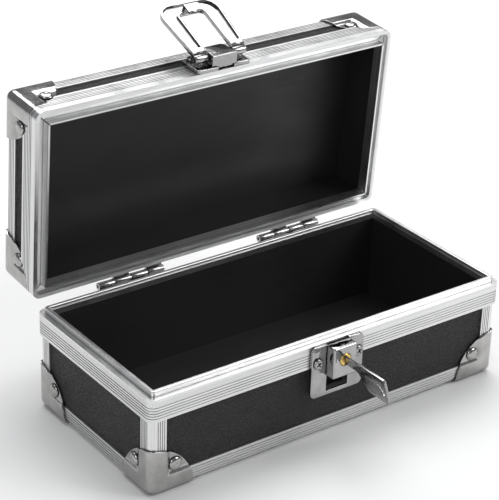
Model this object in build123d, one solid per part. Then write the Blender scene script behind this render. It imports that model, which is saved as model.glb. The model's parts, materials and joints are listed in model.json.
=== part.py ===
"""Small aluminium-framed lockable case: hinged lid, swing-over hasp, key lock on the front wall.

Millimetres, +Z up, X along the width, -Y towards the front (lock side).
Origin: centre of the footprint, in the plane of the corner caps' undersides.
The rest pose has the lid open on its hinge stop, the hasp folded back and the key in the lock.
"""
from build123d import *
import math
import os

# ---------------------------------------------------------------- driving dimensions
WIDTH = 172.0            # outside, over the corner caps, along X
DEPTH = 82.0             # outside, front to back
BASE_HEIGHT = 42.5       # underside to the rim's shoulder
LID_HEIGHT = 24.5        # rim's mating plane to the outer face
LID_GAP = 0.3            # between the two rims when shut
OPEN_ANGLE = 85.8        # lid, from shut to its stop
CORNER_RADIUS = 3.5      # outer vertical corners

CAP_SHEET = 0.85         # pressed steel corner caps
CAP_REACH = 20.0         # radius of each cap lobe, from the corner
CAP_BAND = 8.0           # width of the raised band along a cap's edges
EDGE_INSET = 0.9         # outer face of the aluminium edge angles
BOARD_INSET = 1.7        # outer face of the wall boards
BOARD = 2.0              # wall board thickness
LINING = 0.7             # inner lining thickness
EDGE_FLANGE = 7.9        # edge angles reach this far from the outer planes

RIM_BAND = 9.6           # height of the ribbed rim band
RIB_PITCH = 1.15
RIB_GROOVE = 0.4
RIB_DEPTH = 0.22
TONGUE_INSET = 2.2       # base rim's tongue, which the lid rim's channel takes
TONGUE_INNER = 3.9
TONGUE_RISE = 2.4
CHANNEL_DEPTH = 2.6      # lid rim's channel above the mating plane
LIP_INSET = 4.75         # lid rim's inner lip
LIP_WIDTH = 0.75
LIP_DROP = 1.4           # inner lip, below the mating plane
WEB = 1.0                # floor of the lid rim's channel
CAP_CLEARANCE = 0.1      # between a cap's edge and the lid rim's band
LID_MITRE = 0.4          # open mitre joints at the lid rim's corners

RIVET_OFFSET = 11.8      # rivet centre from both outer planes of a cap
RIVET_SHANK = 1.2
RIVET_HEAD = 2.6
RIVET_RISE = 0.75
EDGE_RIBS = 4            # fine grooves along each edge angle and corner post
EDGE_RIB_START = 1.5
POST_RIB_START = 0.9
POST_RIB_PITCH = 0.95
POST_RIB_HALF = 0.15
RIM_RIBS = 5
RIM_RIB_START = 1.3
SHOULDER = 0.6           # sheet between the base rim's band and its tongue
TONGUE_ROUND = 0.55
INNER_LEG = (1.5, 0.9)   # base rim's inner leg, below and above the shoulder

HINGE_Y = 43.9
HINGE_Z = 43.15
HINGE_LENGTH = 31.6
HINGE_CENTRES = (-40.1, 40.1)
KNUCKLES = 4
KNUCKLE_GAP = 0.35
KNUCKLE_RADIUS = 1.55
PIN_RADIUS = 0.65
PIN_FIT = 0.05
LEAF = 0.8
LEAF_FOOT = 8.6          # leaf height on the rim, from the hinge axis
LEAF_START = 0.9         # leaf's near edge, beyond the knuckle
HINGE_RIVET = 0.9
HINGE_RIVET_HEAD = 1.7
HINGE_RIVET_RISE = 0.8
HINGE_RIVET_OFFSET = 6.0
HINGE_RIVET_STEPS = (-10.0, 0.0, 10.0)
PIN_END = 0.6            # pin's end, inside the hinge's end

PLATE_SHEET = 0.8        # hasp and lock plates: pressed pans
PLATE_RISE = 1.5
PLATE_HALF = 12.7
PAN_ROUND = 0.45
HASP_PLATE_DEPTH = 12.5
HASP_PLATE_CORNER = 1.2
PIVOT_RISE = 4.9         # hasp pivot above the lid rim's mating plane
PIVOT_OUT = 4.4          # hasp pivot in front of the lid wall
PIVOT_RADIUS = 1.1
BLOCK_HALF = 5.9         # pivot block: half width at the front and at the back
BLOCK_BACK_HALF = 4.9
BLOCK_DEPTH = 9.3
BLOCK_RISE = 5.0
BLOCK_ROUND = 2.0
BLOCK_BEVEL = 0.35
BLOCK_GAP = 0.4          # block's front, above the lid rim's mating plane
NOTCH = (-2.9, 4.7)      # gap in the hasp plate's lower edge
HASP_SCREWS = ((-9.3, 10.6), (9.3, 10.6))
HASP_SCREW_RADIUS = 1.0
HASP_SCREW_LENGTH = 5.1
HASP_HEAD = 1.75
HASP_HEAD_RISE = 1.3
STUD = (0.9, 2.0)        # low rivet behind the hasp plate's notch
STUD_RISE = 0.6
LOOP_ANGLE = 20.0        # loop against the lid wall at rest
LOOP_REACH = 28.6        # pivot to the loop's far end
LOOP_START = 0.6
LOOP_FAR_HALF = 14.2
LOOP_NEAR_HALF = 12.2
LOOP_CORNER = 6.5        # radius of the far corners
LOOP_FACES = (0.2, 2.6)  # the loop's two faces, measured from its pivot
LOOP_FLOOR = 1.45        # floor of the channel in the loop's inner face
LOOP_BORDER = 0.65       # raised borders of the channel, outside and round the window
WINDOW_BORDER = 0.75
CHANNEL_START = 3.4
EYE_RADIUS = 2.0
WINDOW_HALF = 6.25
WINDOW_FAR = 22.9
WINDOW_ROUND = 2.0
LOOP_BEVEL = 0.45
HOOK_HALF = 3.3
HOOK_REACH = 5.5         # hook's tip, from the pivot's plane
HOOK_THICKNESS = 1.8
NOSE_THICKNESS = 0.7
NOSE_LENGTH = 3.3

HOUSING_HALF = 5.7       # lock housing
HOUSING_BOTTOM = 28.5
HOUSING_TOP = 42.2
HOUSING_FRONT = -47.2
HOUSING_ROUND = 0.8
HOUSING_BEVEL = 0.55
PLUG_Z = 36.2
PLUG_RADIUS = 2.62
PLUG_BORE = 2.68
PLUG_PROUD = 0.35        # plug's face, in front of the housing
CAM_REACH = 8.6
CAM_THICKNESS = 0.45
CAM_HALF = 1.4
CAM_HUB = 2.4
CAM_STUB = 1.2           # plug's riveted end, through the cam and over it
CAM_STUB_HEAD = 1.7
CAM_STUB_RISE = 0.15
CAM_ROOM = 0.8           # clearance round the cam in the rim behind the lock plate
KEY_ROLL = 17.0          # key's plane against the vertical at rest
KEY_THICKNESS = 1.0
KEY_SLOT = (20.6, 3.4)
KEY_SLOT_SIZE = (5.6, 2.3)
KEY_SLOT_TURN = 58.0
KEY_NOTCHES = 4
KEY_NOTCH = 0.5
KEY_NOTCH_PITCH = 1.1
KEYWAY = (0.6, 2.15)     # half width and half height
LOCK_SCREWS = ((-9.9, 35.1), (9.9, 35.1))
LOCK_SCREW_RADIUS = 1.1
LOCK_SCREW_LENGTH = 4.5
LOCK_HEAD = 2.2
LOCK_HEAD_RISE = 1.1
RECESS = (2.4, 0.5)      # one arm of the screws' cross recess
RECESS_DEPTH = 0.7
RECESS_TURN = 25.0
PLATE_BOTTOM = 19.4
PLATE_TOP = 42.3
PLATE_CORNER = 2.4
TAB_GAP = 5.5            # gap between the lock plate's two top tabs, half width
CATCH_LOW = 21.4         # window that the loop's hook enters
CATCH_HIGH = 28.3
CATCH_HALF = 5.3

HALF_W = WIDTH / 2
HALF_D = DEPTH / 2
LID_PLANE = BASE_HEIGHT + LID_GAP
LID_TOP = LID_PLANE + LID_HEIGHT
LINING_INSET = BOARD_INSET + BOARD
INNER_INSET = LINING_INSET + LINING
WALL_Y = -HALF_D
PIVOT_Y = WALL_Y - PIVOT_OUT
PIVOT_Z = LID_PLANE + PIVOT_RISE
PLATE_LOW = LID_PLANE + 0.2
PLUG_FRONT = HOUSING_FRONT - PLUG_PROUD
PLUG_BACK = WALL_Y - 0.35
OVER = 1.0               # cutters run this far past the faces that they cut
FAR = 400.0              # longer than anything in the case

os.makedirs("parts", exist_ok=True)
nodes = {}


# ---------------------------------------------------------------- shape helpers
def block(low, high):
    """Box between two corner points."""
    size = [b - a for a, b in zip(low, high)]
    middle = [(a + b) / 2 for a, b in zip(low, high)]
    return Pos(*middle) * Box(*size)


def plan(inset):
    """The case's plan outline, moved inwards by inset."""
    radius = CORNER_RADIUS - inset
    if radius > 0.3:
        return RectangleRounded(WIDTH - 2 * inset, DEPTH - 2 * inset, radius)
    return Rectangle(WIDTH - 2 * inset, DEPTH - 2 * inset)


def envelope(inset, top):
    """Solid inside the outer faces moved inwards by inset, closed side down, edges rounded."""
    body = Pos(0, 0, inset) * extrude(plan(inset), top - inset)
    return fillet(body.edges().group_by(Axis.Z)[0], CORNER_RADIUS - inset)


def ring(outer, inner, low, high):
    """Closed wall between two insets of the plan outline, from z=low to z=high."""
    section = plan(outer) - plan(inner)
    return Pos(0, 0, low) * extrude(section, high - low)


def ribbed_ring(outer, inner, low, high, groove_lows):
    """As ring, with fine grooves round its outer face."""
    wall = ring(outer, inner, low, high)
    for z in groove_lows:
        wall -= ring(outer - OVER, outer + RIB_DEPTH, z, z + RIB_GROOVE)
    return wall


def cylinder(point, direction, radius, length):
    """Cylinder from point along direction."""
    face = Plane(origin=point, z_dir=direction) * Circle(radius)
    return extrude(face, length)


# ---------------------------------------------------------------- the half shell, mouth up
def rivet_places():
    """Centre on the outer plane and inward direction of each cap rivet, z=0 at the cap's face."""
    places = []
    near_x = HALF_W - RIVET_OFFSET
    near_y = HALF_D - RIVET_OFFSET
    for sx in (-1, 1):
        for sy in (-1, 1):
            places.append(((sx * near_x, sy * HALF_D, RIVET_OFFSET), (0, -sy, 0)))
            places.append(((sx * HALF_W, sy * near_y, RIVET_OFFSET), (-sx, 0, 0)))
            places.append(((sx * near_x, sy * near_y, 0), (0, 0, 1)))
    return places


def rivet_holes():
    return [cylinder(p, d, RIVET_SHANK, LINING_INSET) for p, d in rivet_places()]


def along(point, direction, distance):
    return tuple(p + d * distance for p, d in zip(point, direction))


def domed_rivet(head_radius, rise, shank_radius, shank_length):
    """Rivet at the origin: domed head up +Z, shank down."""
    dome_radius = (head_radius ** 2 + rise ** 2) / (2 * rise)
    slope = head_radius / dome_radius
    half_slope = math.asin(slope) / 2
    shoulder = (dome_radius * math.sin(half_slope), rise - dome_radius * (1 - math.cos(half_slope)))
    outline = [
        ThreePointArc((0, rise), shoulder, (head_radius, 0)),
        Polyline(
            (head_radius, 0), (shank_radius, 0), (shank_radius, -shank_length), (0, -shank_length),
            (0, rise),
        ),
    ]
    half_section = make_face(Plane.XZ * Curve(children=outline))
    return revolve(half_section, Axis.Z)


def placed(piece, point, outward):
    """Moves a piece made along +Z to a point, with +Z turned outwards."""
    return Plane(origin=point, z_dir=outward).location * piece


def cap_rivets():
    """Low domed rivets whose shanks pass through the cap and the board."""
    rivet = domed_rivet(RIVET_HEAD, RIVET_RISE, RIVET_SHANK, LINING_INSET - CAP_SHEET)
    rivets = []
    for point, inward in rivet_places():
        seat = along(point, inward, CAP_SHEET)
        rivets.append(placed(rivet, seat, tuple(-d for d in inward)).solid())
    return Compound(children=rivets)


def rounded_corner(start, radius):
    """Block whose near corner, at (start, start, start), has its three edges rounded."""
    corner = Vector(start, start, start)
    body = block((start,) * 3, (2 * CAP_REACH,) * 3)
    edges = [e for e in body.edges() if min(((e @ 0) - corner).length, ((e @ 1) - corner).length) < 1e-6]
    return fillet(edges, radius)


def corner_cap():
    """Three-lobed pressed cap for the corner at the origin, reaching along +X, +Y and +Z."""
    cap = rounded_corner(0, CORNER_RADIUS) - rounded_corner(CAP_SHEET, CORNER_RADIUS - CAP_SHEET)
    step = CAP_BAND + CAP_SHEET
    far = CAP_REACH + OVER
    pockets = []
    for axis in range(3):
        low = [CAP_BAND] * 3
        high = [far] * 3
        low[axis] = 0
        high[axis] = BOARD_INSET
        cap += block(low, high)
        low = [step] * 3
        low[axis] = -OVER
        high[axis] = CAP_SHEET
        pockets.append(block(low, high))
        hole_at = [RIVET_OFFSET] * 3
        hole_at[axis] = -OVER
        direction = [0, 0, 0]
        direction[axis] = 1
        pockets.append(cylinder(hole_at, direction, RIVET_SHANK, LINING_INSET))
    cap &= Sphere(CAP_REACH)
    for pocket in pockets:
        cap -= pocket
    return cap.solid()


def placed_caps(prefix):
    """The corner cap at the four corners of a half shell."""
    cap = corner_cap()
    caps = {}
    for x_name, sx in (("left", -1), ("right", 1)):
        for y_name, sy in (("front", -1), ("back", 1)):
            piece = cap
            if sx > 0:
                piece = mirror(piece, Plane.YZ)
            if sy > 0:
                piece = mirror(piece, Plane.XZ)
            piece = Pos(sx * HALF_W, sy * HALF_D, 0) * piece
            caps[f"{prefix}_corner_cap_{y_name}_{x_name}"] = piece
    return caps


def edge_angles(prefix):
    """Aluminium angles round the closed side, mitred at the corners."""
    frame = envelope(EDGE_INSET, EDGE_FLANGE) - envelope(BOARD_INSET, EDGE_FLANGE + OVER)
    frame -= Pos(0, 0, -OVER) * extrude(plan(EDGE_FLANGE), EDGE_FLANGE)
    for i in range(EDGE_RIBS):
        z = EDGE_FLANGE - EDGE_RIB_START - i * RIB_PITCH
        frame -= ring(EDGE_INSET - OVER, EDGE_INSET + RIB_DEPTH, z, z + RIB_GROOVE)
    ridge = HALF_W - HALF_D
    long_side = Polygon(
        (-HALF_W, -HALF_D), (HALF_W, -HALF_D), (ridge, 0), (-ridge, 0), align=None
    )
    short_side = Polygon((-HALF_W, -HALF_D), (-ridge, 0), (-HALF_W, HALF_D), align=None)
    cutters = {
        "front": extrude(long_side, BASE_HEIGHT),
        "back": extrude(mirror(long_side, Plane.XZ), BASE_HEIGHT),
        "left": extrude(short_side, BASE_HEIGHT),
        "right": extrude(mirror(short_side, Plane.YZ), BASE_HEIGHT),
    }
    return {f"{prefix}_edge_angle_{side}": (frame & c).solid() for side, c in cutters.items()}


def corner_posts(prefix, top):
    """Aluminium angles up the four vertical corners."""
    wall = ring(EDGE_INSET, BOARD_INSET, EDGE_FLANGE, top)
    for sx in (-1, 1):
        for sy in (-1, 1):
            for i in range(EDGE_RIBS):
                distance = EDGE_FLANGE - POST_RIB_START - i * POST_RIB_PITCH
                x = sx * (HALF_W - distance)
                y = sy * (HALF_D - EDGE_INSET)
                low = (x - POST_RIB_HALF, y - RIB_DEPTH, 0)
                wall -= block(low, (x + POST_RIB_HALF, y + RIB_DEPTH, FAR))
                x = sx * (HALF_W - EDGE_INSET)
                y = sy * (HALF_D - distance)
                low = (x - RIB_DEPTH, y - POST_RIB_HALF, 0)
                wall -= block(low, (x + RIB_DEPTH, y + POST_RIB_HALF, FAR))
    posts = {}
    for x_name, sx in (("left", -1), ("right", 1)):
        for y_name, sy in (("front", -1), ("back", 1)):
            corner = Pos(sx * HALF_W, sy * HALF_D, top / 2)
            region = corner * Box(2 * EDGE_FLANGE, 2 * EDGE_FLANGE, top + OVER)
            posts[f"{prefix}_corner_post_{y_name}_{x_name}"] = (wall & region).solid()
    return posts


def boards(prefix, flat_name, wall_top):
    """The closed side's board and the four wall boards that stand on it."""
    x = HALF_W - BOARD_INSET
    y = HALF_D - BOARD_INSET
    low = BOARD_INSET + BOARD
    pieces = {
        f"{prefix}_{flat_name}_board": block((-x, -y, BOARD_INSET), (x, y, low)),
        f"{prefix}_front_board": block((-x, -y, low), (x, -y + BOARD, wall_top)),
        f"{prefix}_back_board": block((-x, y - BOARD, low), (x, y, wall_top)),
        f"{prefix}_left_board": block((-x, -y + BOARD, low), (-x + BOARD, y - BOARD, wall_top)),
        f"{prefix}_right_board": block((x - BOARD, -y + BOARD, low), (x, y - BOARD, wall_top)),
    }
    holes = rivet_holes()
    inside = envelope(BOARD_INSET, wall_top + OVER)
    for name in pieces:
        board = pieces[name] & inside
        box = board.bounding_box()
        for hole in holes:
            spot = hole.bounding_box()
            if all(a < b for a, b in zip((*spot.min, *box.min), (*box.max, *spot.max))):
                board -= hole
        pieces[name] = board.solid()
    return pieces


def lining(top):
    """Smooth one-piece lining: four walls and a floor."""
    x = HALF_W - LINING_INSET
    y = HALF_D - LINING_INSET
    tray = block((-x, -y, LINING_INSET), (x, y, top))
    hollow_x = x - LINING
    hollow_y = y - LINING
    tray -= block((-hollow_x, -hollow_y, INNER_INSET), (hollow_x, hollow_y, top + OVER))
    return tray.solid()


def half_shell(prefix, flat_name, height, wall_top, lining_top):
    pieces = boards(prefix, flat_name, wall_top)
    pieces[f"{prefix}_lining"] = lining(lining_top)
    pieces.update(edge_angles(prefix))
    pieces.update(corner_posts(prefix, height - RIM_BAND))
    pieces.update(placed_caps(prefix))
    pieces[f"{prefix}_cap_rivets"] = cap_rivets()
    return pieces


# ---------------------------------------------------------------- rims
def rib_lows(height):
    first = height - RIM_BAND + RIM_RIB_START
    return [first + i * RIB_PITCH for i in range(RIM_RIBS)]


def mitre_slits(start, end, width, low, high):
    """Diagonal slits at the four corners, between two insets of the plan outline."""
    length = math.sqrt(2) * (end - start)
    middle = (start + end) / 2
    slits = []
    for sx in (-1, 1):
        for sy in (-1, 1):
            place = Pos(sx * (HALF_W - middle), sy * (HALF_D - middle), (low + high) / 2)
            slits.append(place * Rot(0, 0, 45 * sx * sy) * Box(length, width, high - low))
    return slits


def base_rim():
    """One extrusion bent round the mouth: ribbed band, shoulder, tongue and inner leg."""
    low = BASE_HEIGHT - RIM_BAND
    rim = ribbed_ring(0, BOARD_INSET, low, BASE_HEIGHT, rib_lows(BASE_HEIGHT))
    rim += ring(0, TONGUE_INNER, BASE_HEIGHT - SHOULDER, BASE_HEIGHT)
    tongue = ring(TONGUE_INSET, TONGUE_INNER, BASE_HEIGHT - SHOULDER / 2, BASE_HEIGHT + TONGUE_RISE)
    crest = tongue.edges().group_by(Axis.Z)[-1]
    rim += fillet(crest, TONGUE_ROUND)
    rim += ring(LINING_INSET, INNER_INSET, BASE_HEIGHT - INNER_LEG[0], BASE_HEIGHT + INNER_LEG[1])
    return rim.solid()


def lid_rim():
    """The lid's extrusion, mouth up: ribbed band, channel for the tongue, inner lip."""
    low = LID_HEIGHT - RIM_BAND
    web = LID_HEIGHT - CHANNEL_DEPTH
    band = ribbed_ring(0, BOARD_INSET, low, LID_HEIGHT, rib_lows(LID_HEIGHT))
    rim = band + ring(BOARD_INSET / 2, LIP_INSET + LIP_WIDTH, web - WEB, web)
    rim += ring(LIP_INSET, LIP_INSET + LIP_WIDTH, web - WEB / 2, LID_HEIGHT + LIP_DROP)
    for slit in mitre_slits(TONGUE_INSET, LIP_INSET + OVER, LID_MITRE, web - WEB, LID_HEIGHT + LIP_DROP):
        rim -= slit
    reach = Sphere(CAP_REACH + CAP_CLEARANCE)
    inner_x = HALF_W - BOARD_INSET
    inner_y = HALF_D - BOARD_INSET
    core = block((-inner_x, -inner_y, 0), (inner_x, inner_y, FAR))
    for sx in (-1, 1):
        for sy in (-1, 1):
            rim -= (Pos(sx * HALF_W, sy * HALF_D, 0) * reach) - core
    return rim.solid()


# ---------------------------------------------------------------- hinges
def knuckle_spans(centre):
    pitch = HINGE_LENGTH / KNUCKLES
    start = centre - HINGE_LENGTH / 2
    for i in range(KNUCKLES):
        low = start + i * pitch + KNUCKLE_GAP / 2
        yield i, low, low + pitch - KNUCKLE_GAP


def knuckle(low, high, upper):
    """One rolled knuckle with the web that joins it to its leaf."""
    side = 1 if upper else -1
    barrel = cylinder((low, HINGE_Y, HINGE_Z), (1, 0, 0), KNUCKLE_RADIUS, high - low)
    foot_z = HINGE_Z + side * (KNUCKLE_RADIUS + LEAF_START)
    half = KNUCKLE_RADIUS / 2
    web = Polygon(
        (HALF_D, foot_z),
        (HALF_D + LEAF, foot_z + side * half),
        (HINGE_Y, HINGE_Z + side * KNUCKLE_RADIUS),
        (HINGE_Y - KNUCKLE_RADIUS * math.cos(math.radians(30)), HINGE_Z + side * half),
        align=None,
    )
    side_view = Plane(origin=(low, 0, 0), x_dir=(0, 1, 0), z_dir=(1, 0, 0))
    return barrel + extrude(side_view * web, high - low, dir=(1, 0, 0))


def hinge_leaf(centre, upper):
    """Leaf on the back of a rim, with every second knuckle."""
    side = 1 if upper else -1
    low_x = centre - HINGE_LENGTH / 2 + KNUCKLE_GAP / 2
    high_x = centre + HINGE_LENGTH / 2 - KNUCKLE_GAP / 2
    near = HINGE_Z + side * (KNUCKLE_RADIUS + LEAF_START)
    far = HINGE_Z + side * LEAF_FOOT
    leaf = block((low_x, HALF_D, min(near, far)), (high_x, HALF_D + LEAF, max(near, far)))
    wanted = 1 if upper else 0
    radius = PIN_RADIUS + (PIN_FIT if upper else 0)
    for i, low, high in knuckle_spans(centre):
        if i % 2 == wanted:
            leaf += knuckle(low, high, upper)
            leaf -= cylinder((low - OVER, HINGE_Y, HINGE_Z), (1, 0, 0), radius, high - low + 2 * OVER)
    for bore in rivet_bores(upper):
        leaf -= bore
    return leaf.solid()


def hinge_rivet_places(upper):
    """Places on the wall's plane of the rivets that hold a pair of leaves."""
    z = HINGE_Z + (HINGE_RIVET_OFFSET if upper else -HINGE_RIVET_OFFSET)
    return [(centre + step, HALF_D, z) for centre in HINGE_CENTRES for step in HINGE_RIVET_STEPS]


def hinge_rivets(upper):
    rivet = domed_rivet(HINGE_RIVET_HEAD, HINGE_RIVET_RISE, HINGE_RIVET, BOARD_INSET + LEAF)
    outward = (0, 1, 0)
    rivets = [placed(rivet, along(p, outward, LEAF), outward).solid() for p in hinge_rivet_places(upper)]
    return Compound(children=rivets)


def rivet_bores(upper):
    """Bores through the leaves and the rim for the hinge rivets."""
    outward = (0, 1, 0)
    depth = BOARD_INSET + OVER / 10
    places = hinge_rivet_places(upper)
    return [cylinder(along(p, outward, -depth), outward, HINGE_RIVET, depth + LEAF + OVER) for p in places]


# ---------------------------------------------------------------- hasp, built on the shut lid
def wall_plane(x, y, z):
    """Plane at a point, facing forwards, with its own +Y up."""
    return Plane(origin=(x, y, z), x_dir=(1, 0, 0), z_dir=(0, -1, 0))


def forward_bore(x, z, radius, depth):
    """Cutter through everything in front of a point that lies depth behind the wall's face."""
    return cylinder((x, WALL_Y + depth, z), (0, -1, 0), radius, depth + PLATE_RISE + OVER)


def pan(low_x, high_x, low_z, high_z, corner_radius):
    """Pressed plate on the wall: flat sheet with its edges turned back to the wall."""
    width = high_x - low_x
    height = high_z - low_z
    front = wall_plane((low_x + high_x) / 2, WALL_Y, (low_z + high_z) / 2)
    outside = extrude(front * RectangleRounded(width, height, corner_radius), PLATE_RISE)
    outside = fillet(outside.edges().group_by(Axis.Y)[0], PAN_ROUND)
    hollow = Rectangle(width - 2 * PLATE_SHEET, height - 2 * PLATE_SHEET)
    return outside - extrude(front * hollow, PLATE_RISE - PLATE_SHEET)


def hasp_plate():
    top = PLATE_LOW + HASP_PLATE_DEPTH
    plate = pan(-PLATE_HALF, PLATE_HALF, PLATE_LOW, top, HASP_PLATE_CORNER)
    front = WALL_Y - PLATE_RISE - OVER
    notch_top = PLATE_LOW + PLATE_SHEET
    plate -= block((NOTCH[0], front, PLATE_LOW - OVER), (NOTCH[1], WALL_Y + OVER, notch_top))
    for x, rise in HASP_SCREWS:
        plate -= forward_bore(x, LID_PLANE + rise, HASP_SCREW_RADIUS, OVER)
    return plate.solid()


def hasp_block():
    """Block that carries the pivot pin, narrower and rounded at its back."""
    outline = Polygon(
        (-BLOCK_HALF, 0),
        (BLOCK_HALF, 0),
        (BLOCK_BACK_HALF, BLOCK_DEPTH),
        (-BLOCK_BACK_HALF, BLOCK_DEPTH),
        align=None,
    )
    outline = fillet(outline.vertices().group_by(Axis.Y)[-1], BLOCK_ROUND)
    front = wall_plane(0, WALL_Y - PLATE_RISE, LID_PLANE + BLOCK_GAP)
    body = extrude(front * outline, BLOCK_RISE, dir=(0, -1, 0))
    body = chamfer(body.edges().group_by(Axis.Y)[0], BLOCK_BEVEL)
    body -= pivot_rod(PIVOT_RADIUS, PLATE_HALF)
    return body.solid()


def pivot_rod(radius, half_length):
    return cylinder((-half_length, PIVOT_Y, PIVOT_Z), (1, 0, 0), radius, 2 * half_length)


def hasp_pin():
    return pivot_rod(PIVOT_RADIUS, LOOP_NEAR_HALF - 0.4).solid()


def loop_outline():
    """Outer outline of the loop, pivot at the origin, reaching along +Y."""
    outline = Polygon(
        (-LOOP_NEAR_HALF, LOOP_START),
        (LOOP_NEAR_HALF, LOOP_START),
        (LOOP_FAR_HALF, LOOP_REACH),
        (-LOOP_FAR_HALF, LOOP_REACH),
        align=None,
    )
    return fillet(outline.vertices().group_by(Axis.Y)[-1], LOOP_CORNER)


def loop_window(border):
    """Opening inside the loop, widened by a border, open towards the pivot."""
    length = WINDOW_FAR + border + 2 * EYE_RADIUS
    middle = WINDOW_FAR + border - length / 2
    return Pos(0, middle) * RectangleRounded(2 * (WINDOW_HALF + border), length, WINDOW_ROUND)


def loop_hook():
    """Tab on the loop's far rail, with a nose that the lock's cam holds from behind."""
    tip_y = PIVOT_Y - HOOK_REACH
    foot_y = PIVOT_Y - LOOP_FLOOR + NOSE_THICKNESS
    root_z = PIVOT_Z + WINDOW_FAR
    tab = block((-HOOK_HALF, tip_y, root_z), (HOOK_HALF, foot_y, root_z + HOOK_THICKNESS))
    nose = block((-HOOK_HALF, tip_y, root_z - NOSE_LENGTH), (HOOK_HALF, tip_y + NOSE_THICKNESS, root_z))
    return tab + nose


def hasp_loop():
    """Tapered loop with two eyes and a hook: a shell with a channel in its inner face."""
    near_face, far_face = LOOP_FACES
    work = wall_plane(0, PIVOT_Y, PIVOT_Z)
    slab = extrude(work * (loop_outline() - loop_window(0)), far_face - near_face, dir=(0, -1, 0))
    slab = Pos(0, -near_face, 0) * slab
    slab = chamfer(slab.edges().group_by(Axis.Y)[-1], LOOP_BEVEL)
    beyond = Pos(0, CHANNEL_START + LOOP_REACH) * Rectangle(FAR, 2 * LOOP_REACH)
    trough = (offset(loop_outline(), -LOOP_BORDER) - loop_window(WINDOW_BORDER)) & beyond
    slab -= Pos(0, -LOOP_FLOOR, 0) * extrude(work * trough, far_face, dir=(0, -1, 0))
    eye_low = WINDOW_HALF + PIN_FIT
    eye_length = LOOP_NEAR_HALF - eye_low
    for x in (eye_low, -LOOP_NEAR_HALF):
        slab += cylinder((x, PIVOT_Y, PIVOT_Z), (1, 0, 0), EYE_RADIUS, eye_length)
    slab -= pivot_rod(PIVOT_RADIUS + PIN_FIT, PLATE_HALF)
    loop = (slab + loop_hook()).solid()
    return loop.rotate(Axis((0, PIVOT_Y, PIVOT_Z), (1, 0, 0)), LOOP_ANGLE)


def pan_screw(x, z, shank_radius, shank_length, head_radius, head_rise):
    """Pan-head screw with a cross recess, its head on a plate's face."""
    seat = wall_plane(x, WALL_Y - PLATE_RISE, z)
    shank = extrude(seat * Circle(shank_radius), -shank_length)
    head = extrude(seat * Circle(head_radius), head_rise)
    head = fillet(head.edges().group_by(Axis.Y)[0], head_rise * 0.6)
    cross = Rectangle(*RECESS) + Rectangle(*reversed(RECESS))
    recess = extrude(seat * Rot(0, 0, RECESS_TURN) * cross, head_rise + OVER)
    head -= Pos(0, RECESS_DEPTH - head_rise, 0) * recess
    return (head + shank).solid()


def hasp_screws():
    """The two screws beside the block and the low stud behind the plate's notch."""
    screws = []
    for x, rise in HASP_SCREWS:
        z = LID_PLANE + rise
        screws.append(pan_screw(x, z, HASP_SCREW_RADIUS, HASP_SCREW_LENGTH, HASP_HEAD, HASP_HEAD_RISE))
    stud = domed_rivet(HASP_HEAD, STUD_RISE, HASP_SCREW_RADIUS, BOARD_INSET)
    stud_x, stud_rise = STUD
    screws.append(placed(stud, (stud_x, WALL_Y, LID_PLANE + stud_rise), (0, -1, 0)).solid())
    return Compound(children=screws)


# ---------------------------------------------------------------- lock on the base
def lock_plate():
    plate = pan(-PLATE_HALF, PLATE_HALF, PLATE_BOTTOM, PLATE_TOP, PLATE_CORNER)
    front = WALL_Y - PLATE_RISE - OVER
    back = WALL_Y + OVER
    plate -= block((-TAB_GAP, front, PLATE_TOP - PLATE_SHEET), (TAB_GAP, back, PLATE_TOP + OVER))
    plate -= block((-CATCH_HALF, front, CATCH_LOW), (CATCH_HALF, back, CATCH_HIGH))
    plate -= forward_bore(0, PLUG_Z, PLUG_BORE, OVER)
    for x, z in LOCK_SCREWS:
        plate -= forward_bore(x, z, LOCK_SCREW_RADIUS, OVER)
    return plate.solid()


def lock_housing():
    """Square lock body with bevelled front edges and the plug's bore."""
    face = WALL_Y - PLATE_RISE
    body = block((-HOUSING_HALF, HOUSING_FRONT, HOUSING_BOTTOM), (HOUSING_HALF, face, HOUSING_TOP))
    body = fillet(body.edges().filter_by(Axis.Y), HOUSING_ROUND)
    body = chamfer(body.edges().group_by(Axis.Y)[0], HOUSING_BEVEL)
    body -= cylinder((0, WALL_Y, PLUG_Z), (0, -1, 0), PLUG_BORE, WALL_Y - HOUSING_FRONT + OVER)
    return body.solid()


def key_axis():
    return Axis((0, 0, PLUG_Z), (0, 1, 0))


def lock_plug():
    """Brass plug with a keyway, riveted over behind its cam."""
    plug = cylinder((0, PLUG_FRONT, PLUG_Z), (0, 1, 0), PLUG_RADIUS, PLUG_BACK - PLUG_FRONT)
    plug = chamfer(plug.edges().group_by(Axis.Y)[0], PLUG_PROUD)
    plug += cylinder((0, PLUG_BACK, PLUG_Z), (0, 1, 0), CAM_STUB, CAM_THICKNESS)
    plug += cylinder((0, PLUG_BACK + CAM_THICKNESS, PLUG_Z), (0, 1, 0), CAM_STUB_HEAD, CAM_STUB_RISE)
    half_width, half_height = KEYWAY
    low = (-half_width, PLUG_FRONT - OVER, PLUG_Z - half_height)
    high = (half_width, PLUG_BACK - PLUG_PROUD, PLUG_Z + half_height)
    plug -= block(low, high).rotate(key_axis(), -KEY_ROLL)
    return plug.solid()


def lock_cam():
    """Arm that swings down behind the plate to hold the loop's hook."""
    low = (0, PLUG_BACK, PLUG_Z - CAM_HALF)
    arm = block(low, (CAM_REACH, PLUG_BACK + CAM_THICKNESS, PLUG_Z + CAM_HALF))
    arm = fillet(arm.edges().filter_by(Axis.Y).group_by(Axis.X)[-1], CAM_HALF / 3)
    arm += cylinder((0, PLUG_BACK, PLUG_Z), (0, 1, 0), CAM_HUB, CAM_THICKNESS)
    arm -= cylinder((0, PLUG_BACK - OVER, PLUG_Z), (0, 1, 0), CAM_STUB, 3 * OVER)
    return arm.solid()


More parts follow.
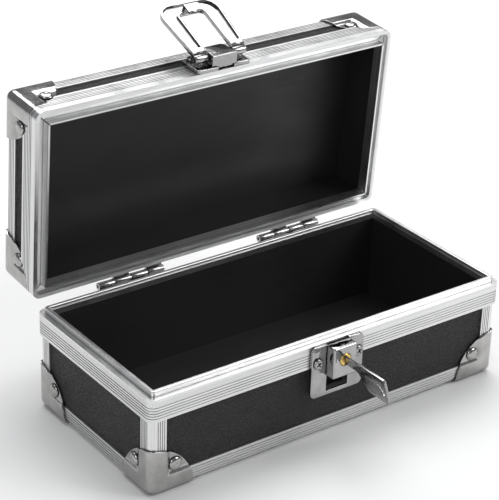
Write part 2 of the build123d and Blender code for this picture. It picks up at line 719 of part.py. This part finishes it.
def lock_key():
    """Flat stamped key: notched blade in the plug, wide bow with a ring slot."""
    outline = [
        (-5.3, 2.0), (7.5, 2.0), (9.5, 2.9), (23.4, 2.9), (24.2, 2.1), (24.2, -8.3),
        (23.2, -9.3), (12.5, -9.3), (10.8, -8.4), (7.5, -2.6), (6.2, -2.0), (-4.4, -2.0), (-5.3, -1.2),
    ]
    out_down = Plane(origin=(-KEY_THICKNESS / 2, PLUG_FRONT, PLUG_Z), x_dir=(0, -1, 0), z_dir=(1, 0, 0))
    points = [(out, -up) for out, up in outline]
    key = Polygon(*points, align=None)
    key -= Pos(*KEY_SLOT) * Rot(0, 0, KEY_SLOT_TURN) * SlotOverall(*KEY_SLOT_SIZE)
    for i in range(KEY_NOTCHES):
        key -= Pos(-KEY_NOTCH_PITCH * (i + 1), -2.0) * Rectangle(KEY_NOTCH, 2 * KEY_NOTCH)
    key = extrude(out_down * key, KEY_THICKNESS, dir=(1, 0, 0))
    return key.solid().rotate(key_axis(), -KEY_ROLL)


def lock_screws():
    screws = [
        pan_screw(x, z, LOCK_SCREW_RADIUS, LOCK_SCREW_LENGTH, LOCK_HEAD, LOCK_HEAD_RISE)
        for x, z in LOCK_SCREWS
    ]
    return Compound(children=screws)


# ---------------------------------------------------------------- assembly
def build_base():
    lining_top = BASE_HEIGHT - INNER_LEG[0]
    pieces = half_shell("base", "bottom", BASE_HEIGHT, BASE_HEIGHT - SHOULDER, lining_top)
    rim = base_rim()
    board = pieces["base_front_board"]
    for x, z in LOCK_SCREWS:
        bore = forward_bore(x, z, LOCK_SCREW_RADIUS, LINING_INSET)
        rim -= bore
        board -= bore
    cam_high = (CAM_REACH + CAM_ROOM, WALL_Y + BOARD_INSET, PLUG_Z + CAM_HUB + CAM_ROOM)
    rim -= block((-CAM_HUB - CAM_ROOM, WALL_Y - OVER, 0), cam_high)
    board -= block((-CATCH_HALF, WALL_Y, CATCH_LOW), (CATCH_HALF, WALL_Y + LINING_INSET, CATCH_HIGH))
    for bore in rivet_bores(False):
        rim -= bore
    pieces["base_rim"] = rim.solid()
    pieces["base_front_board"] = board.solid()
    for side, centre in zip(("left", "right"), HINGE_CENTRES):
        pieces[f"hinge_base_leaf_{side}"] = hinge_leaf(centre, False)
        low = centre - HINGE_LENGTH / 2 + PIN_END
        pin = cylinder((low, HINGE_Y, HINGE_Z), (1, 0, 0), PIN_RADIUS, HINGE_LENGTH - 2 * PIN_END)
        pieces[f"hinge_pin_{side}"] = pin.solid()
    pieces["hinge_base_rivets"] = hinge_rivets(False)
    pieces["lock_plate"] = lock_plate()
    pieces["lock_housing"] = lock_housing()
    pieces["lock_plug"] = lock_plug()
    pieces["lock_cam"] = lock_cam()
    pieces["lock_key"] = lock_key()
    pieces["lock_screws"] = lock_screws()
    return pieces


def shut(piece):
    """Turns a mouth-up half shell over on to the base's rim."""
    return Pos(0, 0, LID_TOP) * Rot(180, 0, 0) * piece


def build_lid():
    """All the lid's pieces as they lie with the lid shut."""
    wall_top = LID_HEIGHT - CHANNEL_DEPTH - WEB
    upturned = half_shell("lid", "top", LID_HEIGHT, wall_top, wall_top)
    upturned["lid_rim"] = lid_rim()
    names = {"front": "back", "back": "front"}
    pieces = {}
    for name, piece in upturned.items():
        words = [names.get(word, word) for word in name.split("_")]
        pieces["_".join(words)] = shut(piece)
    rim = pieces["lid_rim"]
    board = pieces["lid_front_board"]
    for x, rise in HASP_SCREWS:
        bore = forward_bore(x, LID_PLANE + rise, HASP_SCREW_RADIUS, HASP_SCREW_LENGTH - PLATE_RISE)
        rim -= bore
        board -= bore
    stud_x, stud_rise = STUD
    rim -= forward_bore(stud_x, LID_PLANE + stud_rise, HASP_SCREW_RADIUS, BOARD_INSET)
    for bore in rivet_bores(True):
        rim -= bore
    pieces["lid_rim"] = rim.solid()
    pieces["lid_front_board"] = board.solid()
    for side, centre in zip(("left", "right"), HINGE_CENTRES):
        pieces[f"hinge_lid_leaf_{side}"] = hinge_leaf(centre, True)
    pieces["hinge_lid_rivets"] = hinge_rivets(True)
    pieces["hasp_plate"] = hasp_plate()
    pieces["hasp_block"] = hasp_block()
    pieces["hasp_pin"] = hasp_pin()
    pieces["hasp_loop"] = hasp_loop()
    pieces["hasp_screws"] = hasp_screws()
    return pieces


def main():
    nodes.update(build_base())
    hinge_axis = Axis((0, HINGE_Y, HINGE_Z), (1, 0, 0))
    for name, piece in build_lid().items():
        nodes[name] = piece.rotate(hinge_axis, -OPEN_ANGLE)
    for name, piece in nodes.items():
        export_step(piece, f"parts/{name}.step")
    print(len(nodes), "nodes")


main()
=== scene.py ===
"""Looks of the small aluminium-framed lock case: materials, refined pressings, studio and camera."""
import json
import math

import bpy
import bmesh
from mathutils import Matrix, Vector


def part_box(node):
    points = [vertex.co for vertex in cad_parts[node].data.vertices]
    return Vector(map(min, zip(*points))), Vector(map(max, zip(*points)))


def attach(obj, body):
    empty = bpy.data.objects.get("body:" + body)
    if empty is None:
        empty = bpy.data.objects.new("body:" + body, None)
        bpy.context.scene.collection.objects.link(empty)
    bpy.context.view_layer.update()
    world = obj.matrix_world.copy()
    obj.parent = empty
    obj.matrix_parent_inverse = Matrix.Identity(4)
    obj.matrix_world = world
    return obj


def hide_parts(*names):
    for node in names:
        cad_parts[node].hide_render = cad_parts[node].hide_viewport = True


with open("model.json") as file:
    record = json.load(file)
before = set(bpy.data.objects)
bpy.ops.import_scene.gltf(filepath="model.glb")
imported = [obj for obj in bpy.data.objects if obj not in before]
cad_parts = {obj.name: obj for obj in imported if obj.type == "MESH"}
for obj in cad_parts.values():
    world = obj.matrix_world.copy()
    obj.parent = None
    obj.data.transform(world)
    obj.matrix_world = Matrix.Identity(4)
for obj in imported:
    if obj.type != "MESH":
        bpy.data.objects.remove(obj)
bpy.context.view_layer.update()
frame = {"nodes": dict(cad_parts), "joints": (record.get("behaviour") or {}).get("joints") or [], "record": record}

# ---------------------------------------------------------------- places taken from the frame
MM = 0.001
HINGE_JOINT = next(joint for joint in frame["joints"] if joint["name"] == "lid_hinge")
HINGE = Vector(HINGE_JOINT["pos_m"])
LID_TURN = math.radians(HINGE_JOINT["range_deg"][1])
HALF_W, HALF_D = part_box("base_rim")[1].xy
BODY_OF = {n: body for body, names in frame["record"]["behaviour"]["bodies"].items() for n in names}
SLOTS = {part["node"]: part["material_slot"] for part in frame["record"]["subparts"]}

# ---------------------------------------------------------------- sizes of the refined pieces
WELD = 0.002 * MM                  # joins a CAD mesh's doubled points
CAP_REACH = 20.0 * MM              # radius of each lobe of a corner cap
CAP_ROUND = 3.5 * MM               # radius of the cap's outer edges
CAP_SHEET = 0.8 * MM               # thickness of the cap's sheet
CAP_BAND = 8.5 * MM                # width left proud beside the rivet's seat
CAP_SLOPE = 2.3 * MM               # width of the slope down to the seat
CAP_RECESS = 0.85 * MM             # depth of the seat
CAP_STEPS = 34
CAP_WELD = 0.02 * MM
CAP_RIM_BREAK = 0.22 * MM
RIVET_RADIUS = 2.85 * MM
RIVET_RISE = 1.45 * MM
RIVET_RISE_UNDER = 0.75 * MM       # lower underneath, to clear the table
HEAD_STEPS = 9
HEAD_TURNS = 32
HEAD_SHOULDER = 0.12               # share of the rise at which the dome begins
HEAD_NECK = [(0.88, -0.3), (0.88, 0.02), (1.0, 0.14)]    # shares of radius and rise
DIMPLE = 0.16
DIMPLE_REACH = 0.45
FLAT = math.radians(0.5)
SHARP = math.radians(32)
CAP_SHARP = math.radians(50)
EDGE_BREAKS = {
    "hasp_plate": 0.18, "hasp_block": 0.22, "hasp_loop": 0.28, "hasp_screws": 0.10,
    "lock_plate": 0.20, "lock_housing": 0.20, "lock_plug": 0.10, "lock_key": 0.14, "lock_screws": 0.10,
    "hinge_base_leaf_left": 0.12, "hinge_base_leaf_right": 0.12,
    "hinge_lid_leaf_left": 0.12, "hinge_lid_leaf_right": 0.12,
}

# ---------------------------------------------------------------- studio
FLOOR_SIDE = 3.0
LIGHTS = (                         # name, side, power, place
    ("top_light", 1.3, 21.0, (0.25, 0.55, 1.30)),
    ("key_light", 0.8, 9.0, (0.95, -0.85, 0.95)),
    ("fill_light", 0.7, 3.5, (-1.1, -0.6, 0.8)),
)
LIGHT_AIM = Vector((0, 0.02, 0.06))
SKY_COLOR = (0.95, 0.97, 1.0, 1.0)
SKY_STRENGTH = 0.26
SENSOR = 36.0
LENS = 134.3
CLIP_END = 50.0
EYE_PLACE = Vector((-403.8, -523.3, 399.4)) * MM
EYE_RIGHT = Vector((0.80958, -0.58628, 0.02931)).normalized()
EYE_AHEAD = Vector((0.53342, 0.71391, -0.45364)).normalized()


# ---------------------------------------------------------------- shader helpers
class Shader:
    """A material's node tree with short calls for the nodes used here."""

    def __init__(self, name):
        self.material = bpy.data.materials.new(name)
        self.material.use_nodes = True
        self.tree = self.material.node_tree
        self.tree.nodes.clear()
        self.surface = self.add("ShaderNodeBsdfPrincipled")
        output = self.add("ShaderNodeOutputMaterial")
        self.feed(output.inputs["Surface"], self.surface.outputs["BSDF"])

    def add(self, kind, **settings):
        node = self.tree.nodes.new(kind)
        for key, value in settings.items():
            setattr(node, key, value)
        return node

    def feed(self, socket, value):
        """Links another node's output to a socket, or sets a plain value on it."""
        if isinstance(value, bpy.types.NodeSocket):
            self.tree.links.new(value, socket)
        else:
            socket.default_value = value

    def feed_all(self, node, *values):
        for socket, value in zip(node.inputs, values):
            self.feed(socket, value)
        return node.outputs[0]

    def math(self, operation, *values):
        return self.feed_all(self.add("ShaderNodeMath", operation=operation), *values)

    def product(self, value, factor):
        return self.math("MULTIPLY", value, factor)

    def total(self, first, second):
        return self.math("ADD", first, second)

    def vector(self, x, y, z):
        return self.feed_all(self.add("ShaderNodeCombineXYZ"), x, y, z)

    def scaled(self, vector, scale):
        return self.feed_all(self.add("ShaderNodeVectorMath", operation="MULTIPLY"), vector, scale)

    def split(self, vector):
        node = self.add("ShaderNodeSeparateXYZ")
        self.feed(node.inputs[0], vector)
        return node.outputs

    def object_place(self):
        return self.add("ShaderNodeTexCoord").outputs["Object"]

    def place(self, lid=False):
        """Row-frame place in millimetres, with the lid's turned back to its shut place."""
        place = self.object_place()
        if lid:
            turn = self.add("ShaderNodeVectorRotate", rotation_type="X_AXIS")
            self.feed(turn.inputs["Vector"], place)
            turn.inputs["Center"].default_value = HINGE
            turn.inputs["Angle"].default_value = LID_TURN
            place = turn.outputs[0]
        return self.scaled(place, (1 / MM, 1 / MM, 1 / MM))

    def noise(self, vector, scale=1.0, detail=2.0, roughness=0.5, output="Fac"):
        node = self.add("ShaderNodeTexNoise")
        self.feed(node.inputs["Vector"], vector)
        node.inputs["Scale"].default_value = scale
        node.inputs["Detail"].default_value = detail
        node.inputs["Roughness"].default_value = roughness
        return node.outputs[output]

    def cell_edges(self, vector, scale):
        node = self.add("ShaderNodeTexVoronoi", feature="DISTANCE_TO_EDGE")
        self.feed(node.inputs["Vector"], vector)
        node.inputs["Scale"].default_value = scale
        return node.outputs["Distance"]

    def spread(self, value, low, high, start=0.3, end=0.7):
        """Maps start to end on to low to high, clamped."""
        node = self.add("ShaderNodeMapRange", clamp=True)
        self.feed(node.inputs["Value"], value)
        node.inputs["From Min"].default_value = start
        node.inputs["From Max"].default_value = end
        node.inputs["To Min"].default_value = low
        node.inputs["To Max"].default_value = high
        return node.outputs["Result"]

    def mix(self, factor, first, second):
        node = self.add("ShaderNodeMix", data_type="RGBA")
        self.feed(node.inputs["Factor"], factor)
        self.feed(node.inputs["A"], first)
        self.feed(node.inputs["B"], second)
        return node.outputs["Result"]

    def bump(self, height, strength, distance, below=None):
        node = self.add("ShaderNodeBump")
        self.feed(node.inputs["Height"], height)
        node.inputs["Strength"].default_value = strength
        node.inputs["Distance"].default_value = distance
        if below is not None:
            self.feed(node.inputs["Normal"], below)
        return node.outputs["Normal"]

    def crevice_shade(self, reach):
        """Painted shade: one on open faces, falling to nought in grooves and at joints closer than reach, for
        darkening the colour there as if in shade.
        """
        node = self.add("ShaderNodeAmbientOcclusion", samples=8)
        node.inputs["Distance"].default_value = reach
        return self.spread(node.outputs["AO"], 0.0, 1.0, start=0.35, end=0.92)

    def finish(self, color, roughness, normal=None, metallic=0.0):
        self.feed(self.surface.inputs["Base Color"], color)
        self.feed(self.surface.inputs["Roughness"], roughness)
        self.surface.inputs["Metallic"].default_value = metallic
        if normal is not None:
            self.feed(self.surface.inputs["Normal"], normal)
        return self.material


def grey(value, warm=0.0):
    return (value * (1 + warm), value, value * (1 - warm), 1.0)


# ---------------------------------------------------------------- materials
def aluminium(name, lid, upright=False):
    """Satin extrusion: fine lines run along its length, with faint smudges and painted shade in its grooves and
    joints.
    """
    s = Shader(name)
    place = s.place(lid)
    x, y, z = s.split(place)
    if upright:
        across = s.vector(s.product(x, 5.0), s.product(y, 5.0), s.product(z, 0.03))
    else:
        inset_x = s.math("SUBTRACT", HALF_W / MM, s.math("ABSOLUTE", x))
        inset_y = s.math("SUBTRACT", HALF_D / MM, s.math("ABSOLUTE", y))
        inset = s.math("MINIMUM", inset_x, inset_y)
        along = s.product(s.total(x, y), 0.006)
        across = s.vector(s.product(inset, 3.6), s.product(z, 3.6), along)
    lines = s.noise(across, detail=3.0, roughness=0.65)
    coarse = s.noise(s.scaled(across, (0.28, 0.28, 0.6)))
    smudge = s.noise(place, scale=0.11, detail=3.0, roughness=0.6)
    tone = s.total(s.product(lines, 0.6), s.product(coarse, 0.4))
    shade = s.spread(tone, 0.0, 1.0, start=0.35, end=0.65)
    color = s.mix(shade, grey(0.60, 0.003), grey(0.88, -0.002))
    # Painted shade: the colour darkens towards grey 0.17 in grooves and at joints, standing in for the shade
    # there.
    color = s.mix(s.crevice_shade(0.5 * MM), grey(0.17), color)
    rough = s.total(s.spread(smudge, 0.27, 0.36, start=0.35, end=0.65), s.spread(lines, -0.03, 0.07))
    normal = s.bump(tone, strength=0.30, distance=0.05 * MM)
    return s.finish(color, rough, normal, metallic=1.0)


def textured_board(name, lid):
    """Black film with a pebbled leather grain drawn out along the boards, lighter on the pebbles' tops and darker
    in the seams between them.
    """
    s = Shader(name)
    place = s.place(lid)
    drift = s.noise(place, scale=1.3, output="Color")
    warped = s.feed_all(s.add("ShaderNodeVectorMath", operation="ADD"), place, drift)
    cells = s.cell_edges(s.scaled(warped, (0.62, 0.62, 1.0)), scale=1.35)
    pebble = s.spread(cells, 0.0, 1.0, start=0.0, end=0.26)
    fine = s.noise(s.scaled(place, (0.6, 0.6, 1.0)), scale=2.1, detail=3.0, roughness=0.62)
    patch = s.noise(place, scale=0.05, detail=3.0, roughness=0.6)
    tone = s.total(s.product(pebble, 0.45), s.product(fine, 0.55))
    color = s.mix(s.spread(tone, 0.0, 1.0, start=0.40, end=0.78), grey(0.002), grey(0.040))
    rough = s.total(s.spread(patch, 0.40, 0.50, start=0.35, end=0.65), s.spread(fine, -0.05, 0.06))
    normal = s.bump(pebble, strength=0.9, distance=0.40 * MM)
    normal = s.bump(fine, strength=1.0, distance=0.60 * MM, below=normal)
    return s.finish(color, rough, normal)


def lining_sheet(name, lid):
    """Smooth black sheet with a faint satin mottle and a few soft rub marks."""
    s = Shader(name)
    place = s.place(lid)
    grain = s.noise(place, scale=3.0, detail=4.0, roughness=0.7)
    cloud = s.noise(place, scale=0.035)
    streak = s.noise(s.scaled(place, (0.04, 0.5, 0.5)), detail=3.0)
    color = s.mix(s.spread(grain, 0.0, 1.0), grey(0.011), grey(0.019))
    rough = s.total(s.spread(cloud, 0.42, 0.54), s.spread(streak, -0.04, 0.04))
    normal = s.bump(grain, strength=0.12, distance=0.06 * MM)
    return s.finish(color, rough, normal)


def plated(name, lid, tone, warm, smooth, dull, scratch):
    """Polished plating: shallow waviness, hairline scratches in all directions and soft smudges."""
    s = Shader(name)
    place = s.place(lid)
    wave = s.noise(place, scale=0.16)
    smudge = s.noise(place, scale=0.13, detail=4.0, roughness=0.62)
    hair_along = s.noise(s.scaled(place, (9.0, 0.35, 0.6)))
    hair_across = s.noise(s.scaled(place, (0.4, 8.0, 7.0)))
    hair = s.math("MAXIMUM", hair_along, hair_across)
    marks = s.spread(hair, 0.0, 1.0, start=0.60, end=0.72)
    color = s.mix(s.spread(smudge, 0.0, 1.0), grey(tone * 0.78, warm), grey(tone * 1.12, warm))
    # Painted shade: the colour darkens almost to black at joints and in the rings round the rivet heads.
    color = s.mix(s.crevice_shade(0.9 * MM), grey(0.02), color)
    rough = s.total(s.spread(smudge, smooth, dull, start=0.35, end=0.68), s.product(marks, scratch))
    normal = s.bump(wave, strength=0.45, distance=0.6 * MM)
    normal = s.bump(marks, strength=0.10, distance=0.03 * MM, below=normal)
    return s.finish(color, rough, normal, metallic=1.0)


def turned_brass(name):
    """Yellow brass with the fine rings that turning leaves."""
    s = Shader(name)
    place = s.place()
    low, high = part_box("lock_plug")
    centre = (low + high) / 2 / MM
    x, y, z = s.split(place)
    across = s.math("SUBTRACT", x, centre.x)
    up = s.math("SUBTRACT", z, centre.z)
    radius = s.math("SQRT", s.total(s.math("POWER", across, 2.0), s.math("POWER", up, 2.0)))
    rings = s.noise(s.vector(s.product(radius, 9.0), s.product(y, 9.0), 0.0))
    stain = s.noise(place, scale=0.9, detail=3.0)
    color = s.mix(s.spread(stain, 0.0, 1.0), (0.62, 0.40, 0.10, 1), (0.86, 0.62, 0.22, 1))
    rough = s.total(s.spread(rings, 0.12, 0.26), s.spread(stain, 0.0, 0.08))
    return s.finish(color, rough, s.bump(rings, strength=0.4, distance=0.08 * MM), metallic=1.0)


def key_steel(name):
    """Stamped steel: lengthwise grinding lines on the faces."""
    s = Shader(name)
    place = s.place()
    lines = s.noise(s.scaled(place, (3.0, 0.12, 6.0)), detail=3.0)
    patch = s.noise(place, scale=0.5, detail=3.0)
    color = s.mix(s.spread(lines, 0.0, 1.0), grey(0.26, 0.01), grey(0.44, 0.01))
    rough = s.total(s.spread(patch, 0.18, 0.30), s.spread(lines, -0.03, 0.06))
    return s.finish(color, rough, s.bump(lines, strength=0.25, distance=0.05 * MM), metallic=1.0)


def pale_floor(name):
    s = Shader(name)
    cloud = s.noise(s.object_place(), scale=3.0)
    return s.finish(s.mix(cloud, grey(0.80), grey(0.84)), 0.7)


def make_materials():
    """One material for each finish and half of the case."""
    made = {}
    for half, lid in (("base", False), ("lid", True)):
        made["aluminium", half] = aluminium(f"aluminium_{half}", lid)
        made["upright", half] = aluminium(f"aluminium_upright_{half}", lid, upright=True)
        made["textured_board", half] = textured_board(f"textured_board_{half}", lid)
        made["lining", half] = lining_sheet(f"lining_{half}", lid)
        made["cap_steel", half] = plated(
            f"cap_steel_{half}", lid, tone=0.44, warm=0.016, smooth=0.10, dull=0.20, scratch=0.10)
        made["chrome", half] = plated(
            f"chrome_{half}", lid, tone=0.40, warm=0.006, smooth=0.04, dull=0.10, scratch=0.08)
    made["brass", "base"] = turned_brass("turned_brass")
    made["key_steel", "base"] = key_steel("key_steel")
    return made


def half_of(node):
    return "lid" if BODY_OF[node] in ("lid", "hasp") else "base"


def finish_of(node):
    """A node's material slot, except that corner posts have their lines upright."""
    return "upright" if "corner_post" in node else SLOTS[node]


def paint_nodes(materials):
    """Gives every CAD node the finish of its material slot."""
    for node, piece in frame["nodes"].items():
        piece.data.materials.clear()
        piece.data.materials.append(materials[finish_of(node), half_of(node)])


# ---------------------------------------------------------------- refined pieces
def turned(points, angle):
    """Points turned about the lid's hinge axis."""
    spin = Matrix.Translation(HINGE) @ Matrix.Rotation(angle, 4, "X") @ Matrix.Translation(-HINGE)
    return [spin @ point for point in points]


def shut_extent(node, vertices):
    """Lowest and highest corner of some of a node's vertices with the lid shut."""
    points = [v.co.copy() for v in vertices]
    if half_of(node) == "lid":
        points = turned(points, LID_TURN)
    low = Vector([min(p[i] for p in points) for i in range(3)])
    high = Vector([max(p[i] for p in points) for i in range(3)])
    return low, high


def shut_box(node):
    return shut_extent(node, frame["nodes"][node].data.vertices)


def add_piece(name, mesh, node, materials):
    """Puts a refined piece in the place of a CAD node, with that node's body and finish."""
    piece = bpy.data.objects.new(name, mesh)
    bpy.context.scene.collection.objects.link(piece)
    mesh.materials.append(materials[finish_of(node), half_of(node)])
    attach(piece, BODY_OF[node])
    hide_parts(node)
    return piece


def add_bevel(piece, name, width, segments, angle):
    bevel = piece.modifiers.new(name, "BEVEL")
    bevel.width = width
    bevel.segments = segments
    bevel.limit_method = "ANGLE"
    bevel.angle_limit = angle
    return bevel


def smooth_mesh(form, name):
    for face in form.faces:
        face.smooth = True
    mesh = bpy.data.meshes.new(name)
    form.to_mesh(mesh)
    form.free()
    return mesh


def shut_piece(form, name, node, materials):
    """Piece from a form drawn with the lid shut, turned open when it is on the lid."""
    bmesh.ops.recalc_face_normals(form, faces=form.faces)
    mesh = smooth_mesh(form, name)
    if half_of(node) == "lid":
        opened = turned([v.co.copy() for v in mesh.vertices], -LID_TURN)
        for vertex, place in zip(mesh.vertices, opened):
            vertex.co = place
    return add_piece(name, mesh, node, materials)


def welded_form(node):
    form = bmesh.new()
    form.from_mesh(frame["nodes"][node].data)
    bmesh.ops.remove_doubles(form, verts=form.verts, dist=WELD)
    return form


def softened(node, width, materials):
    """Copy of a CAD node with its sharp edges broken, as on a real stamping or casting."""
    form = welded_form(node)
    bmesh.ops.dissolve_limit(form, angle_limit=FLAT, verts=form.verts, edges=form.edges)
    name = f"{node}_soft"
    piece = add_piece(name, smooth_mesh(form, name), node, materials)
    bevel = add_bevel(piece, "broken_edges", width, 3, SHARP)
    bevel.harden_normals = True
    bevel.use_clamp_overlap = True


def cap_point(face, across, along, sheet):
    """Place on a corner cap, measured from its sharp corner; sheet is the depth below its outer skin."""
    u = CAP_REACH * across * math.sqrt(1 - along * along / 2)
    v = CAP_REACH * along * math.sqrt(1 - across * across / 2)
    sharp = Vector((0, 0, 0))
    sharp[(face + 1) % 3] = u
    sharp[(face + 2) % 3] = v
    core = Vector([max(c, CAP_ROUND) for c in sharp])
    point = core + (sharp - core).normalized() * (CAP_ROUND - sheet)
    share = min(max((min(u, v) - CAP_BAND) / CAP_SLOPE + 0.5, 0), 1)
    point[face] += CAP_RECESS * share * share * (3 - 2 * share)
    return point


def corner_cap(node, materials):
    """Pressed sheet with three round lobes, rounded edges and a sunk seat round each rivet."""
    low, high = shut_box(node)
    corner = Vector([a if abs(a) > abs(b) else b for a, b in zip(low, high)])
    lid = half_of(node) == "lid"
    corner.z = high.z if lid else low.z
    inward = Vector((-math.copysign(1, corner.x), -math.copysign(1, corner.y), -1 if lid else 1))
    form = bmesh.new()
    steps = range(CAP_STEPS)
    for sheet in (0.0, CAP_SHEET):
        for face in range(3):
            rows = []
            for i in range(CAP_STEPS + 1):
                row = []
                for j in range(CAP_STEPS + 1):
                    point = cap_point(face, i / CAP_STEPS, j / CAP_STEPS, sheet)
                    row.append(form.verts.new(corner + point * inward))
                rows.append(row)
            for i in steps:
                for j in steps:
                    form.faces.new((rows[i][j], rows[i + 1][j], rows[i + 1][j + 1], rows[i][j + 1]))
    bmesh.ops.remove_doubles(form, verts=form.verts, dist=CAP_WELD)
    rims = [e for e in form.edges if len(e.link_faces) == 1]
    bmesh.ops.bridge_loops(form, edges=rims)
    piece = shut_piece(form, f"{node}_pressed", node, materials)
    add_bevel(piece, "rolled_rim", CAP_RIM_BREAK, 2, CAP_SHARP)


def islands(node):
    """Boxes, with the lid shut, of the separate solids of a node."""
    form = welded_form(node)
    waiting = set(form.verts)
    boxes = []
    while waiting:
        group = [waiting.pop()]
        for vertex in group:
            near = {edge.other_vert(vertex) for edge in vertex.link_edges} & waiting
            waiting -= near
            group.extend(near)
        boxes.append(shut_extent(node, group))
    form.free()
    return boxes


def domed_head(form, seat, outward, radius, rise):
    """Adds a rivet head: a dome with a shallow dimple, its rim standing out over a narrower neck."""
    profile = list(HEAD_NECK)
    for i in range(1, HEAD_STEPS + 1):
        angle = math.pi / 2 * i / HEAD_STEPS
        radial = math.cos(angle)
        dimple = DIMPLE * max(0.0, 1 - (radial / DIMPLE_REACH) ** 2) ** 2
        height = HEAD_SHOULDER + (1 - HEAD_SHOULDER) * math.sin(angle) - dimple
        profile.append((radial, height))
    side = outward.orthogonal().normalized()
    other = outward.cross(side)
    rings = []
    for radial, height in profile[:-1]:
        ring = []
        for k in range(HEAD_TURNS):
            turn = 2 * math.pi * k / HEAD_TURNS
            spoke = side * math.cos(turn) + other * math.sin(turn)
            ring.append(form.verts.new(seat + spoke * radial * radius + outward * height * rise))
        rings.append(ring)
    tip = form.verts.new(seat + outward * profile[-1][1] * rise)
    for k in range(HEAD_TURNS):
        following = (k + 1) % HEAD_TURNS
        for lower, upper in zip(rings, rings[1:]):
            form.faces.new((lower[k], lower[following], upper[following], upper[k]))
        form.faces.new((rings[-1][k], rings[-1][following], tip))
    form.faces.new(rings[0])


def cap_rivets(node, materials):
    """Domed heads in the seats of the caps; those underneath stay above the table."""
    form = bmesh.new()
    lid = half_of(node) == "lid"
    closed_face = shut_box("lid_corner_cap_front_left")[1].z if lid else 0.0
    for low, high in islands(node):
        middle = (low + high) / 2
        faces = (HALF_W, HALF_D, closed_face)
        reach = (HALF_W - abs(middle.x), HALF_D - abs(middle.y), abs(closed_face - middle.z))
        face = reach.index(min(reach))
        sign = math.copysign(1, middle[face])
        if face == 2:
            sign = 1 if lid else -1
        outward = Vector((0, 0, 0))
        outward[face] = sign
        seat = middle.copy()
        seat[face] = (faces[face] if face == 2 else faces[face] * sign) - sign * CAP_RECESS
        under = face == 2 and not lid
        domed_head(form, seat, outward, RIVET_RADIUS, RIVET_RISE_UNDER if under else RIVET_RISE)
    shut_piece(form, f"{node}_domed", node, materials)


def refine(materials):
    """Replaces the nodes whose real shape is rounder or thinner than their CAD solid."""
    for node, width in EDGE_BREAKS.items():
        softened(node, width * MM, materials)
    for node in list(frame["nodes"]):
        if "corner_cap" in node:
            corner_cap(node, materials)
        if node.endswith("cap_rivets"):
            cap_rivets(node, materials)


# ---------------------------------------------------------------- floor, lights and camera
def studio():
    """Pale floor that runs out of sight, soft lights from the front right, above and behind."""
    corners = [(x * FLOOR_SIDE, y * FLOOR_SIDE, 0) for x, y in ((-1, -1), (1, -1), (1, 1), (-1, 1))]
    floor_mesh = bpy.data.meshes.new("floor")
    floor_mesh.from_pydata(corners, [], [(0, 1, 2, 3)])
    floor_mesh.materials.append(pale_floor("pale_floor"))
    floor = bpy.data.objects.new("floor", floor_mesh)
    bpy.context.scene.collection.objects.link(floor)

    for name, side, power, place in LIGHTS:
        light = bpy.data.lights.new(name, "AREA")
        light.shape = "SQUARE"
        light.size = side
        light.energy = power
        lamp = bpy.data.objects.new(name, light)
        lamp.location = place
        lamp.rotation_mode = "QUATERNION"
        lamp.rotation_quaternion = (LIGHT_AIM - Vector(place)).to_track_quat("-Z", "Y")
        bpy.context.scene.collection.objects.link(lamp)

    world = bpy.data.worlds.new("studio_world")
    world.use_nodes = True
    sky = world.node_tree.nodes["Background"]
    sky.inputs["Color"].default_value = SKY_COLOR
    sky.inputs["Strength"].default_value = SKY_STRENGTH
    bpy.context.scene.world = world
    bpy.context.scene.view_settings.view_transform = "Standard"


def camera():
    """Long lens, from the front left and above."""
    data = bpy.data.cameras.new("camera")
    data.sensor_width = SENSOR
    data.lens = LENS
    data.clip_end = CLIP_END
    eye = bpy.data.objects.new("camera", data)
    turn = Matrix((EYE_RIGHT, EYE_RIGHT.cross(EYE_AHEAD), -EYE_AHEAD)).transposed()
    eye.matrix_world = Matrix.Translation(EYE_PLACE) @ turn.to_4x4()
    bpy.context.scene.collection.objects.link(eye)
    bpy.context.scene.camera = eye


finishes = make_materials()
paint_nodes(finishes)
refine(finishes)
studio()
camera()
